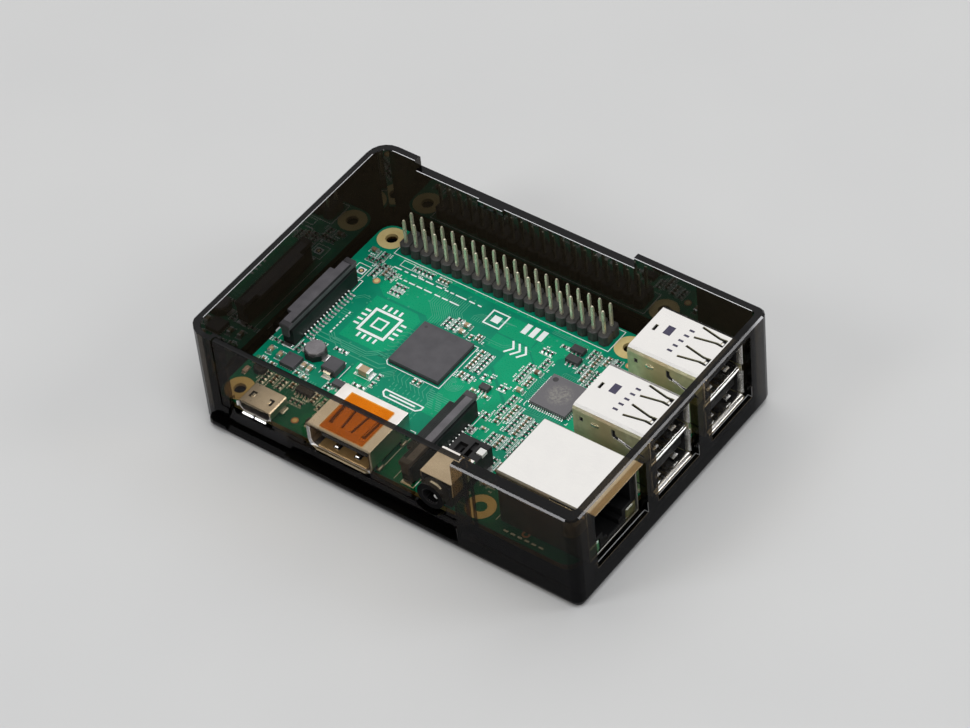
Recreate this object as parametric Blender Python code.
"""Single board computer in an open smoked case tray.

Board coordinates, in millimetres, are used for every dimension below: X runs
from the display connector end (left) to the USB end (right), Y from the HDMI
edge (front) to the pin header edge (back), and Z is measured up from the top
face of the circuit board. The part's own frame has +Z up and its origin in the
middle of the tray's underside; FRAME_X, FRAME_Y and FRAME_Z carry one into the
other. Names ending in 0 and 1 are the low and high ends of an extent. Cutting
shapes run past the faces they open, so their outer ends are not critical.
"""

import math

import bmesh
import bpy
from mathutils import Matrix, Vector

MM = 0.001

# ------------------------------------------------------- tray outside, frame
CASE_X0, CASE_X1 = -3.0, 89.2
CASE_Y0, CASE_Y1 = -3.8, 60.2
CASE_Z0, CASE_Z1 = -5.6, 18.3        # underside and rim
CASE_MID_X = (CASE_X0 + CASE_X1) / 2
CASE_MID_Y = (CASE_Y0 + CASE_Y1) / 2
FRAME_X, FRAME_Y, FRAME_Z = -CASE_MID_X, -CASE_MID_Y, -CASE_Z0

# --------------------------------------------------------------------- board
BOARD_X, BOARD_Y, BOARD_T = 85.0, 56.0, 1.4
BOARD_CORNER = 3.0
HOLE_INSET = 3.5                     # hole centres from the board's edges
HOLE_PITCH_X = 58.0
HOLES = [
    (x, y)
    for y in (HOLE_INSET, BOARD_Y - HOLE_INSET)
    for x in (HOLE_INSET, HOLE_INSET + HOLE_PITCH_X)
]
HOLE_R = 1.375
SEAT = 0.1                           # solder gap under every mounted part
UNDER_Z = -BOARD_T - SEAT            # same gap below the board

# -------------------------------------------------- tray inside, front edges
IN_X0, IN_X1 = -1.5, 87.5
IN_Y0, IN_Y1 = -1.15, 58.5
FLOOR_Z = -4.0
PLATE_X0, PLATE_X1 = 4.9, 61.5       # clear opening between the two posts
PLATE_Y0, PLATE_Y1 = -2.3, -0.8      # faceplate thickness
PLATE_TONGUE = 0.95                  # faceplate's reach into each groove
GROOVE_DEPTH = 1.2
FIT = 0.15                           # running clearance of the faceplate
FRONT_WALL_Z1 = 0.6                  # top of the low front wall
FOOT_Z1 = -3.3                       # top of the full-depth foot band
RIM_CHAMFER = 0.35
OUTER_CORNER = 4.6                   # both left-hand corners
OUTER_CORNER_STEPS = 5

# ------------------------------------------------------ pin header (2 rows)
PIN_PITCH = 2.54
PIN_COLUMNS = 20
PIN_X0 = 8.37                        # first column
HEADER_Y = BOARD_Y - HOLE_INSET
PIN_ROWS = (HEADER_Y - PIN_PITCH / 2, HEADER_Y + PIN_PITCH / 2)
PIN_Z0, PIN_Z1 = 1.6, 8.5
PIN_SIDE = 0.62
PIN_TIP_CHAMFER = 0.16
HEADER_Z1 = 2.55                     # top of the insulator

# ------------------------------------------------------------------- sockets
USB_X0, USB_X1 = 70.2, 87.2
USB_Y = {"lower": 29.0, "upper": 46.9}
USB_W, USB_Z1 = 13.1, 15.6
NET_X0, NET_X1 = 66.8, 87.1
NET_Y, NET_W, NET_Z1 = 10.65, 15.9, 13.8
HDMI_X, HDMI_W, HDMI_Z1 = 32.0, 15.0, 6.3
HDMI_Y0, HDMI_Y1 = -0.95, 11.2
POWER_X, POWER_W, POWER_Z1 = 10.8, 7.7, 2.75
POWER_Y0, POWER_Y1 = -0.75, 4.6
JACK_X, JACK_W = 53.8, 6.9
JACK_AXIS_Z, JACK_R = 3.1, 3.0
CARD_Y = BOARD_Y / 2

# openings shared by the tray and the faceplate
POWER_OPENING = (POWER_X - 4.6, POWER_X + 5.3)
HDMI_OPENING_W = 15.8
JACK_OPENING_R = 4.05


# ================================================================== helpers
def clear_scene():
    for ob in list(bpy.data.objects):
        bpy.data.objects.remove(ob, do_unlink=True)
    for group in list(bpy.data.collections):
        bpy.data.collections.remove(group)


def new_collection(name):
    group = bpy.data.collections.new(name)
    bpy.context.scene.collection.children.link(group)
    return group


clear_scene()
PARTS = new_collection("single_board_computer")
CUTTERS = new_collection("cutters")


def at(x, y, z):
    """Board coordinates in millimetres to the part's frame in metres."""
    return Vector(((x + FRAME_X) * MM, (y + FRAME_Y) * MM, (z + FRAME_Z) * MM))


def span(centre, width):
    """Low and high ends of an extent about its centre."""
    return centre - width / 2, centre + width / 2


def inset(extent, margin):
    """An extent drawn in by a margin at both ends."""
    return extent[0] + margin, extent[1] - margin


def box(x, y, z):
    """A shape: adds a box to a bmesh, each argument being a (low, high) extent."""
    extents = (x, y, z)
    size = [high - low for low, high in extents]
    middle = [(low + high) / 2 for low, high in extents]
    place = Matrix.Translation(middle) @ Matrix.Diagonal((*size, 1.0))
    return lambda bm: bmesh.ops.create_cube(bm, size=1.0, matrix=place)


def rod(start, axis, length, radius, sides):
    """A shape: adds a capped cylinder to a bmesh, from a start point along y or z."""
    turn, step = {
        "y": (Matrix.Rotation(-math.pi / 2, 4, "X"), Vector((0, 1, 0))),
        "z": (Matrix.Identity(4), Vector((0, 0, 1))),
    }[axis]
    place = Matrix.Translation(Vector(start) + step * length / 2) @ turn
    return lambda bm: bmesh.ops.create_cone(
        bm, cap_ends=True, segments=sides, radius1=radius, radius2=radius,
        depth=length, matrix=place,
    )


def solid(*shapes):
    """A bmesh holding the given shapes."""
    bm = bmesh.new()
    for shape in shapes:
        shape(bm)
    return bm


def parallel(edge, axis):
    first, second = (v.co for v in edge.verts)
    return all(abs(first[i] - second[i]) < 1e-6 for i in range(3) if "xyz"[i] != axis)


def chamfer(bm, width, steps=1, along=None, where=None):
    """Bevels the edges parallel to an axis whose two ends both satisfy where(end)."""
    edges = [
        e for e in bm.edges
        if (along is None or parallel(e, along))
        and (where is None or all(where(v.co) for v in e.verts))
    ]
    bmesh.ops.bevel(
        bm, geom=edges, offset=width, offset_type="OFFSET", segments=steps,
        profile=0.5, affect="EDGES", clamp_overlap=True,
    )


def add_object(name, bm, origin, group):
    """Makes an object from a bmesh in board millimetres, its origin at a board point."""
    centre = at(*origin)
    for v in bm.verts:
        v.co = at(*v.co) - centre
    mesh = bpy.data.meshes.new(name)
    bm.to_mesh(mesh)
    bm.free()
    ob = bpy.data.objects.new(name, mesh)
    ob.location = centre
    group.objects.link(ob)
    return ob


def piece(name, bm, origin, mat):
    ob = add_object(name, bm, origin, PARTS)
    ob.data.materials.append(mat)
    return ob


def helper(name, bm, origin=(0, 0, 0)):
    """An unrendered object that a boolean modifier uses."""
    ob = add_object(name, bm, origin, CUTTERS)
    ob.hide_render = True
    ob.display_type = "WIRE"
    return ob


def boolean(ob, tool, operation="DIFFERENCE", crossing=False):
    mod = ob.modifiers.new(operation.title(), "BOOLEAN")
    mod.operation = operation
    mod.object = tool
    mod.solver = "EXACT"
    mod.use_self = crossing


def cut(ob, *shapes, crossing=False):
    """Takes shapes out of an object; crossing says that they overlap each other."""
    boolean(ob, helper(ob.name + "_cutter", solid(*shapes)), crossing=crossing)


def join(ob, *shapes):
    """Joins shapes to an object as one body."""
    boolean(ob, helper(ob.name + "_joined", solid(*shapes)), "UNION")


def smooth(ob):
    ob.data.shade_smooth()
    ob.data.set_sharp_from_angle(angle=math.radians(30))


# ================================================================ materials
def material(name, colour, roughness, metallic=0.0, alpha=1.0):
    mat = bpy.data.materials.new(name)
    mat.use_nodes = True
    shader = mat.node_tree.nodes["Principled BSDF"]
    shader.inputs["Base Color"].default_value = (*colour, 1.0)
    shader.inputs["Roughness"].default_value = roughness
    shader.inputs["Metallic"].default_value = metallic
    shader.inputs["Alpha"].default_value = alpha
    return mat


def metal(name, colour, roughness):
    return material(name, colour, roughness, metallic=1.0)


SMOKE = material("smoked_plastic", colour=(0.035, 0.034, 0.032), roughness=0.12, alpha=0.55)
PLATE = material("smoked_plate_plastic", colour=(0.05, 0.048, 0.04), roughness=0.12, alpha=0.45)
GREEN = material("green_laminate", colour=(0.0, 0.30, 0.16), roughness=0.35)
BLACK = material("black_plastic", colour=(0.02, 0.02, 0.022), roughness=0.5)
GREY = material("grey_plastic", colour=(0.12, 0.11, 0.12), roughness=0.6)
CHIP = material("chip_epoxy", colour=(0.10, 0.09, 0.10), roughness=0.55)
STEEL = metal("bright_steel", colour=(0.80, 0.79, 0.77), roughness=0.22)
GOLD = metal("gold_plate", colour=(0.78, 0.62, 0.30), roughness=0.25)
AMBER = material("amber_film", colour=(0.75, 0.30, 0.02), roughness=0.25)
TAN = material("tan_ceramic", colour=(0.55, 0.42, 0.30), roughness=0.5)
FERRITE = material("grey_ferrite", colour=(0.30, 0.28, 0.29), roughness=0.5)
CARD_BLACK = material("card_plastic", colour=(0.03, 0.03, 0.035), roughness=0.4)
RED_LENS = material("red_lens", colour=(0.75, 0.10, 0.08), roughness=0.3)
GREEN_LENS = material("green_lens", colour=(0.15, 0.75, 0.20), roughness=0.3)
YELLOW_LENS = material("yellow_lens", colour=(0.85, 0.65, 0.10), roughness=0.3)
SPRING = metal("spring_wire", colour=(0.65, 0.65, 0.67), roughness=0.3)


# ===================================================================== tray
FRONT_CUT_Y = (CASE_Y0 - 2, 0.5)     # reaches right through the front wall
LIP_X0, LIP_X1 = 2.6, 63.6           # far edges of the lips beside the opening
LIP_Y = (-1.5, -0.12)
WINDOW_Z0 = 0.6
NET_WINDOW_W, NET_WINDOW_Z1 = 16.3, 14.2
USB_WINDOW_W, USB_WINDOW_Z1 = 13.6, 16.9
STANDOFF_R, PEG_R = 2.7, 1.15


def case_plan():
    """Plan outline: the left part of the front stands back, flush with the
    faceplate; the right part and the foot band stand out."""
    origin = (CASE_MID_X, BOARD_Y / 2, 0)
    full_z = (CASE_Z0 - 1, CASE_Z1 + 1)
    front = CASE_Y0 - 0.01

    bm = solid(box((CASE_X0 - 0.01, CASE_X1 + 0.01), (PLATE_Y0, CASE_Y1 + 0.01), full_z))
    chamfer(bm, OUTER_CORNER, OUTER_CORNER_STEPS, "z", lambda end: end.x < CASE_MID_X)
    plan = helper("case_base_plan", bm, origin)

    wing = solid(box((PLATE_X1 - 0.6, CASE_X1 + 1), (front, 8), full_z))
    chamfer(wing, 0.5, 2, "z", lambda end: end.x < PLATE_X1 and end.y < 0)
    boolean(plan, helper("case_base_wing", wing, origin), "UNION")

    foot = solid(box((0.6, PLATE_X1 + 4), (front, 9), (CASE_Z0 - 2, FOOT_Z1)))
    chamfer(foot, 1.4, 2, "z", lambda end: end.x < PLATE_X0 and end.y < 0)
    boolean(plan, helper("case_base_foot", foot, origin), "UNION")
    return plan


def case_outer():
    bm = solid(box((CASE_X0, CASE_X1), (CASE_Y0, CASE_Y1), (CASE_Z0, CASE_Z1)))
    chamfer(bm, OUTER_CORNER, OUTER_CORNER_STEPS, "z", lambda end: end.x < CASE_MID_X)
    chamfer(bm, 1.9, 3, "z", lambda end: end.x > CASE_X1 - 0.01)
    chamfer(bm, 1.6, 2, where=lambda end: end.z < CASE_Z0 + 1e-4)
    chamfer(bm, RIM_CHAMFER, where=lambda end: end.z > CASE_Z1 - 1e-4)
    return piece("case_base", bm, (CASE_MID_X, CASE_MID_Y, CASE_Z0), SMOKE)


def case_inside():
    bm = solid(box((IN_X0, IN_X1), (IN_Y0, IN_Y1), (FLOOR_Z, CASE_Z1 + 6)))
    chamfer(bm, 3.2, 4, "z", lambda end: end.x < CASE_MID_X)
    chamfer(bm, 0.9, 2, "z", lambda end: end.x > IN_X1 - 0.01)
    return helper("case_base_inside", bm, (CASE_MID_X, BOARD_Y / 2, FLOOR_Z))


def case_ramp():
    """Tilted block that slopes the low front wall under the power plug."""
    bm = solid(box((5.3, 19.6), (-8.0, 0.0), (-3.0, 9.0)))
    tilt = Matrix.Rotation(math.radians(-27), 3, "X")
    bmesh.ops.rotate(bm, verts=bm.verts, cent=(0, 0, 0), matrix=tilt)
    bmesh.ops.translate(bm, verts=bm.verts, vec=(0, -2.2, -1.9))
    return helper("case_base_ramp", bm, (12.5, -3, -2))


def case_front(ob):
    """Lips, opening, faceplate grooves and lower socket openings in the front wall."""
    lip_z = (-4.3, CASE_Z1 - RIM_CHAMFER)
    above_wall = (FRONT_WALL_Z1, CASE_Z1 + 5)
    # thin lips behind the faceplate's edges
    join(ob, box((LIP_X0, PLATE_X0), LIP_Y, lip_z), box((PLATE_X1, LIP_X1), LIP_Y, lip_z))
    # clear opening between the posts, then the grooves beside it
    cut(ob, box((PLATE_X0, PLATE_X1), FRONT_CUT_Y, above_wall))
    groove_x = inset((PLATE_X0, PLATE_X1), -GROOVE_DEPTH)
    cut(ob, box(groove_x, inset((PLATE_Y0, PLATE_Y1), -FIT), above_wall))
    boolean(ob, case_ramp())
    # lower parts of the power and audio openings
    cut(
        ob,
        box(POWER_OPENING, FRONT_CUT_Y, (-0.6, FRONT_WALL_Z1 + 1)),
        rod((JACK_X, CASE_Y0 - 2, JACK_AXIS_Z), "y", 5.1, JACK_OPENING_R, 28),
    )


def case_base():
    """Open tray: walls, floor, stand-offs, window frames at the USB end and two
    grooved posts that hold the sliding faceplate."""
    ob = case_outer()
    boolean(ob, case_plan(), "INTERSECT")
    boolean(ob, case_inside())
    case_front(ob)

    # windows for the network and USB sockets
    wall_x = (IN_X1 - 1, CASE_X1 + 2)
    cut(
        ob,
        box(wall_x, span(NET_Y, NET_WINDOW_W), (WINDOW_Z0, NET_WINDOW_Z1)),
        *[box(wall_x, span(y, USB_WINDOW_W), (WINDOW_Z0, USB_WINDOW_Z1)) for y in USB_Y.values()],
    )
    # snap tab inside the back wall, then the dropped rim along it
    join(ob, box((22.4, 28.4), (IN_Y1 - 0.55, IN_Y1 + 0.4), (14.0, 15.9)))
    cut(ob, box((6.9, 59.5), (IN_Y1 - 1, CASE_Y1 + 2), (15.6, CASE_Z1 + 5)))
    # card slot with a finger notch through wall and floor
    cut(ob, box((CASE_X0 - 2, 1.2), span(CARD_Y, 14.4), (CASE_Z0 - 2, -1.55)))
    # stand-offs, sunk into the floor, with pegs that stand in the board's holes
    sink = 0.4
    height = UNDER_Z - FLOOR_Z + sink
    join(ob, *[rod((x, y, FLOOR_Z - sink), "z", height, STANDOFF_R, 20) for x, y in HOLES])
    join(ob, *[rod((x, y, UNDER_Z - 0.5), "z", 1.5, PEG_R, 14) for x, y in HOLES])
    smooth(ob)


# ================================================================ faceplate
def notch(x, y, z, corner):
    """A shape: a box with its two upper corners rounded."""
    def add(bm):
        part = solid(box(x, y, z))
        chamfer(part, corner, 3, "y", lambda end: end.z > z[1] - 0.01)
        # passes through a mesh so that only this box's edges are rounded
        mesh = bpy.data.meshes.new("notch")
        part.to_mesh(mesh)
        part.free()
        bm.from_mesh(mesh)
        bpy.data.meshes.remove(mesh)
    return add


def front_faceplate():
    """Sliding plate between the posts, with notches that pass down over the sockets."""
    z0 = FRONT_WALL_Z1 + 0.3
    plate_x = inset((PLATE_X0, PLATE_X1), -PLATE_TONGUE)
    bm = solid(box(plate_x, (PLATE_Y0, PLATE_Y1), (z0, CASE_Z1)))
    chamfer(bm, 0.25, 1, "x", lambda end: end.z > CASE_Z1 - 0.01)
    origin = ((PLATE_X0 + PLATE_X1) / 2, (PLATE_Y0 + PLATE_Y1) / 2, z0)
    ob = piece("front_faceplate", bm, origin, PLATE)
    # x extent, top, corner: power, HDMI and audio
    notches = (
        (POWER_OPENING, 4.3, 0.9),
        (span(HDMI_X, HDMI_OPENING_W), 7.0, 1.2),
        (span(JACK_X, 2 * JACK_OPENING_R), JACK_AXIS_Z + JACK_OPENING_R, 3.9),
    )
    through = (PLATE_Y0 - 2, PLATE_Y1 + 2)
    cut(ob, *[notch(x, through, (z0 - 3, top), corner) for x, top, corner in notches])
    smooth(ob)


# ==================================================== board and pin header
def circuit_board():
    bm = solid(box((0, BOARD_X), (0, BOARD_Y), (-BOARD_T, 0)))
    chamfer(bm, BOARD_CORNER, 5, "z")
    ob = piece("circuit_board", bm, (BOARD_X / 2, BOARD_Y / 2, 0), GREEN)
    cut(ob, *[rod((x, y, -BOARD_T - 1), "z", BOARD_T + 2, HOLE_R, 20) for x, y in HOLES])
    smooth(ob)


def gpio_header():
    """Two-row pin header: one insulator strip with forty square pins."""
    x0 = PIN_X0 - PIN_PITCH / 2
    x1 = x0 + PIN_PITCH * PIN_COLUMNS
    origin = ((x0 + x1) / 2, HEADER_Y, 0)
    bm = solid(box((x0, x1), span(HEADER_Y, 2 * PIN_PITCH), (SEAT, HEADER_Z1)))
    chamfer(bm, 0.35, 1, "x", lambda end: end.z > HEADER_Z1 - 0.05)
    ob = piece("gpio_header", bm, origin, BLACK)

    pins = solid(*[
        box(span(PIN_X0 + PIN_PITCH * column, PIN_SIDE), span(y, PIN_SIDE), (PIN_Z0, PIN_Z1))
        for column in range(PIN_COLUMNS)
        for y in PIN_ROWS
    ])
    chamfer(pins, PIN_TIP_CHAMFER, where=lambda end: end.z > PIN_Z1 - 1e-4)
    boolean(ob, helper("gpio_header_pins", pins, origin), "UNION")


# =============================================================== USB stacks
def usb_stack(side, y):
    """Folded steel shell of a double USB socket, open at the plug side, and the
    moulding inside it that carries both tongues."""
    wall, back_wall = 0.35, 0.4      # sides and top; low-X end and underside
    shell_y = span(y, USB_W)
    bm = solid(box((USB_X0, USB_X1), shell_y, (SEAT, USB_Z1)))
    chamfer(bm, 0.9, 2, "x", lambda end: end.z > USB_Z1 - 0.01)
    shell = piece(f"usb_stack_{side}_shell", bm, (USB_X0, y, 0), STEEL)
    hollow_z = (SEAT + back_wall, USB_Z1 - wall)
    cut(shell, box((USB_X0 + back_wall, USB_X1 + 2), inset(shell_y, wall), hollow_z))
    smooth(shell)

    insert_x0 = USB_X0 + 0.6
    insert_y = inset(shell_y, 0.5)
    bm = solid(box((insert_x0, 77.4), insert_y, (0.75, USB_Z1 - 0.6)))
    insert = piece(f"usb_stack_{side}_insert", bm, (insert_x0, y, 0), BLACK)
    # two tongues and the divider between them
    tongue_x, tongue_y = (77.0, 86.2), span(y, 10.6)
    join(
        insert,
        box(tongue_x, tongue_y, (3.6, 5.4)),
        box(tongue_x, tongue_y, (11.3, 13.1)),
        box((77.0, 86.6), insert_y, (7.55, 8.5)),
    )


# =========================================================== network socket
NET_HOUSING_INSET = 0.5              # from the shield's outside, in X and Y
NET_HOUSING_HALF = NET_W / 2 - NET_HOUSING_INSET


def network_shield():
    wall = 0.35
    shield_y = span(NET_Y, NET_W)
    bm = solid(box((NET_X0, NET_X1), shield_y, (SEAT, NET_Z1)))
    chamfer(bm, 0.4, 1, "x", lambda end: end.z > NET_Z1 - 0.01)
    shield = piece("network_socket_shield", bm, (NET_X0, NET_Y, 0), STEEL)
    hollow_z = inset((SEAT, NET_Z1), wall)
    cut(shield, box((NET_X0 + wall, NET_X1 + 2), inset(shield_y, wall), hollow_z))
    smooth(shield)


def network_housing():
    x0 = NET_X0 + NET_HOUSING_INSET
    housing_z = inset((SEAT, NET_Z1), 0.55)
    bm = solid(box((x0, 86.8), span(NET_Y, 2 * NET_HOUSING_HALF), housing_z))
    housing = piece("network_socket_housing", bm, (x0, NET_Y, 0), BLACK)
    # plug cavity and the two narrower latch steps under it
    cavity_x = (73.5, 90)
    cut(
        housing,
        box(cavity_x, span(NET_Y, 11.9), (4.3, 11.2)),
        box(cavity_x, span(NET_Y, 6.2), (2.7, 6.0)),
        box(cavity_x, span(NET_Y, 3.8), (1.5, 4.0)),
        crossing=True,
    )
    # pockets for the two lamp windows
    near, far = 4.1, NET_HOUSING_HALF + 1
    cut(
        housing,
        box((84.6, 90), (NET_Y - far, NET_Y - near), (0.0, 3.4)),
        box((84.6, 90), (NET_Y + near, NET_Y + far), (0.0, 3.4)),
    )


def network_contacts():
    """A bar across the cavity carrying eight sloping contact wires."""
    origin = (74.0, NET_Y, 10.7)
    bm = solid(box((74.0, 75.2), span(NET_Y, 8.4), (10.4, 11.0)))
    contacts = piece("network_socket_contacts", bm, origin, GOLD)
    wire_count, wire_pitch = 8, 1.02
    wire_size = Matrix.Diagonal((8.2, 0.42, 0.3, 1.0))
    slope = Matrix.Rotation(math.radians(10), 4, "Y")
    wires = bmesh.new()
    for i in range(wire_count):
        y = NET_Y + (i - (wire_count - 1) / 2) * wire_pitch
        place = Matrix.Translation((78.6, y, 10.0)) @ slope @ wire_size
        bmesh.ops.create_cube(wires, size=1.0, matrix=place)
    boolean(contacts, helper("network_socket_wires", wires, origin), "UNION")


def network_lamps():
    x0, x1 = 84.9, 86.9
    near, far = 4.3, NET_HOUSING_HALF - 0.05
    for name, y0, y1, mat in (
        ("left", NET_Y - far, NET_Y - near, GREEN_LENS),
        ("right", NET_Y + near, NET_Y + far, YELLOW_LENS),
    ):
        bm = solid(box((x0, x1), (y0, y1), (0.75, 3.2)))
        chamfer(bm, 0.25, where=lambda end: end.x > x1 - 0.1)
        piece(f"network_lamp_{name}", bm, (x0, (y0 + y1) / 2, 2), mat)


# ===================================================================== HDMI
def hdmi_profile(margin, y0, fold):
    """The socket's outline drawn in by a margin, its two lower corners folded."""
    z0 = SEAT + margin
    bm = solid(box(
        inset(span(HDMI_X, HDMI_W), margin), (y0, HDMI_Y1 - margin), (z0, HDMI_Z1 - margin)
    ))
    chamfer(bm, fold, 2, "y", lambda end: end.z < z0 + 0.01)
    return bm


def hdmi_socket():
    origin = (HDMI_X, HDMI_Y0, 0)
    shell = piece("hdmi_socket_shell", hdmi_profile(0, HDMI_Y0, 1.6), origin, STEEL)
    hollow = hdmi_profile(0.35, HDMI_Y0 - 2, 1.45)
    boolean(shell, helper("hdmi_socket_hollow", hollow, origin))
    smooth(shell)

    tongue = piece("hdmi_socket_tongue", hdmi_profile(0.55, 7.9, 1.4), (HDMI_X, 8, 3), BLACK)
    join(tongue, box(span(HDMI_X, 10.8), (0.2, 8.3), (2.7, 3.7)))

    tape = solid(box((27.1, 37.3), (-0.55, 9.7), (HDMI_Z1 + 0.08, HDMI_Z1 + 0.22)))
    piece("hdmi_socket_tape", tape, (32.2, 4.5, HDMI_Z1), AMBER)


# ======================================================== micro-USB (power)
def power_socket():
    wall = 0.25
    shell_x = span(POWER_X, POWER_W)
    origin = (POWER_X, POWER_Y0, 1.4)
    bm = solid(box(shell_x, (POWER_Y0, POWER_Y1), (SEAT, POWER_Z1)))
    chamfer(bm, 0.75, 1, "y", lambda end: end.z < SEAT + 0.01)
    chamfer(bm, 0.3, 1, "y", lambda end: end.z > POWER_Z1 - 0.01)
    shell = piece("power_socket_shell", bm, origin, STEEL)

    hollow_z = inset((SEAT, POWER_Z1), wall)
    hollow = solid(box(inset(shell_x, wall), (-3, POWER_Y1 - wall), hollow_z))
    chamfer(hollow, 0.7, 1, "y", lambda end: end.z < hollow_z[0] + 0.01)
    boolean(shell, helper("power_socket_hollow", hollow, origin))
    smooth(shell)

    bm = solid(box(inset(shell_x, 1.2), (2.6, 4.2), inset((SEAT, POWER_Z1), 0.4)))
    tongue = piece("power_socket_tongue", bm, (POWER_X, 2.6, 1.4), BLACK)
    join(tongue, box(span(POWER_X, 3.8), (-0.2, 2.9), (1.45, 2.0)))


# =============================================================== audio jack
def audio_jack():
    body_x = span(JACK_X - 0.05, JACK_W)
    x0, x1 = body_x
    bm = solid(box(body_x, (0.4, 13.6), (SEAT, 4.9)))
    body = piece("audio_jack_body", bm, (JACK_X, 0, JACK_AXIS_Z), BLACK)
    # raised front part, barrel and bore
    join(body, box(inset(body_x, 0.2), (0.6, 8.2), (4.5, 5.7)))
    join(body, rod((JACK_X, -1.6, JACK_AXIS_Z), "y", 2.1, JACK_R, 28))
    cut(body, rod((JACK_X, -3, JACK_AXIS_Z), "y", 14.2, 1.8, 20))
    # pockets over the contact springs
    cut(
        body,
        box((x0 + 1.1, x0 + 3.0), (9.2, 11.6), (3.9, 6.5)),
        box((x1 - 1.7, x1 + 1), (10.4, 12.4), (4.0, 6.5)),
        box((x0 + 3.6, x0 + 4.6), (8.9, 12.9), (4.3, 6.5)),
    )
    smooth(body)

    bm = solid(box(inset(body_x, -0.25), (0.65, 8.0), (2.6, 6.15)))
    cover = piece("audio_jack_cover", bm, (JACK_X, 0.55, 6), STEEL)
    cut(cover, box(inset(body_x, -0.1), (-1, 10), (1, 5.95)))

    bm = solid(box((x1 - 1.55, x1 - 0.05), (10.6, 12.2), (4.15, 5.0)))
    piece("audio_jack_contact", bm, (x1, 11.4, 4.4), STEEL)


# ==================================================== ribbon cable sockets
def ribbon_socket(name, x, y):
    """Upright ribbon socket: slotted body and the lift-up bar that clamps the cable."""
    body_y = span(y, 20.6)
    bm = solid(box((x - 1.25, x + 1.5), body_y, (SEAT, 4.2)))
    body = piece(f"{name}_connector_body", bm, (x, y, 0), BLACK)
    cut(body, box((x - 0.75, x + 0.35), inset(body_y, 1.2), (1.2, 5)))

    bar_y = inset(body_y, -0.6)
    bm = solid(box(span(x, 2.4), bar_y, (4.5, 5.5)))
    latch = piece(f"{name}_connector_latch", bm, (x, y, 5), GREY)
    # grip along the low-X side, then an ear at each end and the blade in the slot
    join(latch, box((x - 2.3, x - 0.9), span(y, 13.8), (4.55, 5.45)))
    ear_x, ear_z = (x - 0.8, x + 0.9), (2.6, 4.8)
    join(
        latch,
        box(ear_x, (bar_y[0], body_y[0] - 0.15), ear_z),
        box(ear_x, (body_y[1] + 0.15, bar_y[1]), ear_z),
        box((x - 0.55, x - 0.05), inset(body_y, 1.5), (2.4, 4.8)),
    )


# ========================================================== chips and parts
# name, centre (x, y), size (x, y), (underside, top), material, top edge chamfer
PACKAGES = (
    ("processor_package", (30.0, 30.4), (12.0, 12.0), (SEAT, 0.55), CHIP, 0),
    ("memory_package", (30.0, 30.4), (12.0, 12.0), (0.65, 1.25), CHIP, 0.06),
    ("network_chip", (57.9, 34.2), (8.4, 8.4), (0.12, 0.95), CHIP, 0.06),
    ("power_management_chip", (7.85, 14.3), (3.4, 3.4), (SEAT, 0.95), CHIP, 0.06),
    ("camera_regulator", (44.3, 28.5), (2.1, 1.4), (0.12, 1.0), BLACK, 0.06),
    ("usb_power_switch", (54.6, 43.6), (3.0, 1.7), (0.12, 1.1), BLACK, 0.06),
    ("level_shifter", (19.9, 14.2), (2.9, 1.6), (0.12, 1.0), CHIP, 0.06),
    ("input_diode", (16.1, 17.1), (3.4, 3.5), (0.25, 1.9), CHIP, 0.2),
    ("output_capacitor", (21.95, 19.5), (3.0, 1.6), (SEAT, 1.5), TAN, 0.06),
    ("power_lamp", (1.6, 7.9), (0.85, 1.6), (SEAT, 0.7), RED_LENS, 0.06),
    ("activity_lamp", (1.6, 11.3), (0.85, 1.6), (SEAT, 0.7), GREEN_LENS, 0.06),
)


def package(name, centre, size, z, mat, edge):
    x, y = centre
    bm = solid(box(span(x, size[0]), span(y, size[1]), z))
    if edge:
        chamfer(bm, edge, where=lambda end: end.z > z[1] - 1e-4)
    piece(name, bm, (x, y, z[0]), mat)


def power_inductor():
    """A ferrite drum with eight sides."""
    x, y, height = 10.5, 18.7, 2.0
    bm = solid(rod((x, y, SEAT), "z", height, 2.15, 8))
    chamfer(bm, 0.15, where=lambda end: end.z > height)
    piece("power_inductor", bm, (x, y, 0), FERRITE)


# ======================================= memory card socket, under the board
def card_socket():
    """Plastic frame and steel cover of the push-push socket."""
    cover_y = span(CARD_Y, 13.8)
    bm = solid(box((1.3, 15.9), inset(cover_y, 0.3), (UNDER_Z - 1.05, UNDER_Z)))
    frame = piece("card_socket_frame", bm, (1.3, CARD_Y, UNDER_Z), BLACK)
    recess_z = (-4, UNDER_Z - 0.2)
    # card recess, then the slider's
    cut(frame, box((0, 13.9), span(CARD_Y, 11.3), recess_z))
    cut(frame, box((9.9, 15.4), (CARD_Y + 3.5, CARD_Y + 6.35), recess_z))

    bm = solid(box((1.0, 16.2), cover_y, (UNDER_Z - 1.5, UNDER_Z - 0.05)))
    cover = piece("card_socket_cover", bm, (1.0, CARD_Y, UNDER_Z), STEEL)
    cut(cover, box((0, 16.0), inset(cover_y, 0.2), (UNDER_Z - 1.3, UNDER_Z + 1)))


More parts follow.
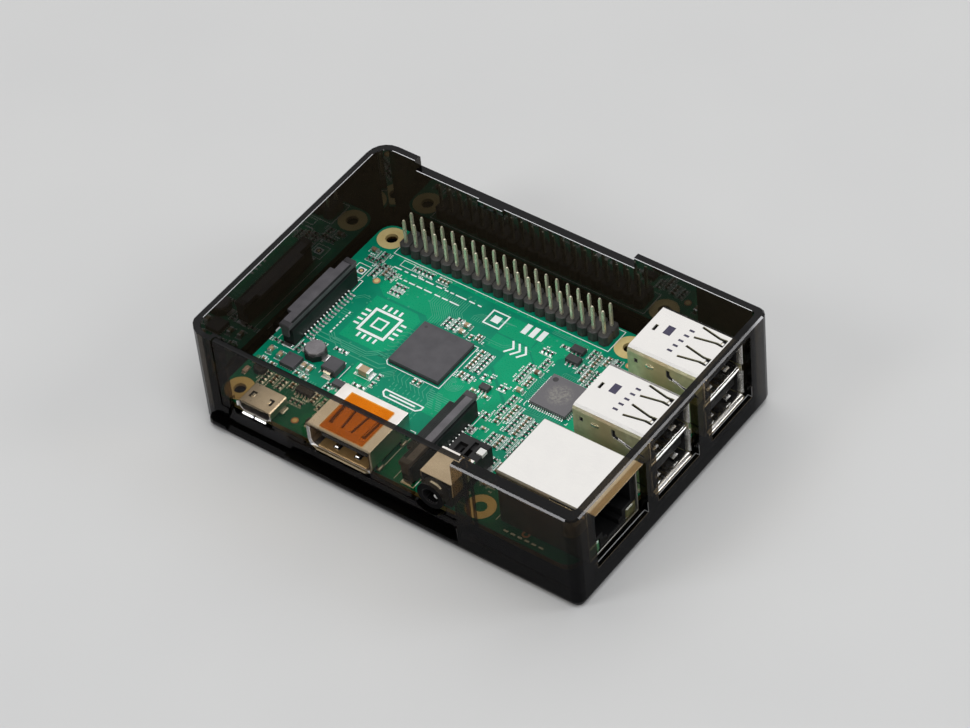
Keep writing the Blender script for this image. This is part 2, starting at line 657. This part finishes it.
def card_slider():
    """L-shaped slider that the card rests against."""
    z = (UNDER_Z - 0.95, UNDER_Z - 0.3)
    y1 = CARD_Y + 6.2
    bm = solid(box((12.85, 13.55), (CARD_Y + 3.7, y1), z))
    slider = piece("card_slider", bm, (13.2, CARD_Y + 6.0, UNDER_Z - 0.6), GREY)
    join(slider, box((11.4, 13.2), (CARD_Y + 5.75, y1), z))


def card_spring():
    """The slider's return spring: a coil of wire along X."""
    turns, steps_per_turn = 3, 8
    coil_r, wire_r = 0.2, 0.055
    x0, length = 13.72, 1.5
    axis_y, axis_z = CARD_Y + 5.9, UNDER_Z - 0.63
    curve = bpy.data.curves.new("card_spring_path", "CURVE")
    curve.dimensions = "3D"
    line = curve.splines.new("POLY")
    steps = turns * steps_per_turn
    line.points.add(steps)
    for i in range(steps + 1):
        angle = 2 * math.pi * i / steps_per_turn
        x = x0 + length * i / steps
        point = at(x, axis_y + coil_r * math.cos(angle), axis_z + coil_r * math.sin(angle))
        line.points[i].co = (*point, 1.0)
    curve.bevel_depth = wire_r * MM
    curve.bevel_resolution = 0
    curve.use_fill_caps = True
    curve.materials.append(SPRING)
    PARTS.objects.link(bpy.data.objects.new("card_spring", curve))


def memory_card():
    bm = solid(box((-2.4, 12.6), span(CARD_Y, 11.0), (UNDER_Z - 1.0, UNDER_Z - 0.27)))
    chamfer(bm, 0.7, 2, "z")
    card = piece("memory_card", bm, (5.0, CARD_Y, UNDER_Z - 0.6), CARD_BLACK)
    # step in the inner back corner
    cut(card, box((7.5, 20), (CARD_Y + 4.7, CARD_Y + 8), (-4, 0)))


# ================================================================= assembly
case_base()
front_faceplate()
circuit_board()
gpio_header()
for stack_side, stack_y in USB_Y.items():
    usb_stack(stack_side, stack_y)
network_shield()
network_housing()
network_contacts()
network_lamps()
hdmi_socket()
power_socket()
audio_jack()
ribbon_socket("display", 4.1, 28.45)
ribbon_socket("camera", 46.0, 11.7)
for entry in PACKAGES:
    package(*entry)
power_inductor()
card_socket()
card_slider()
card_spring()
memory_card()
bpy.context.view_layer.update()
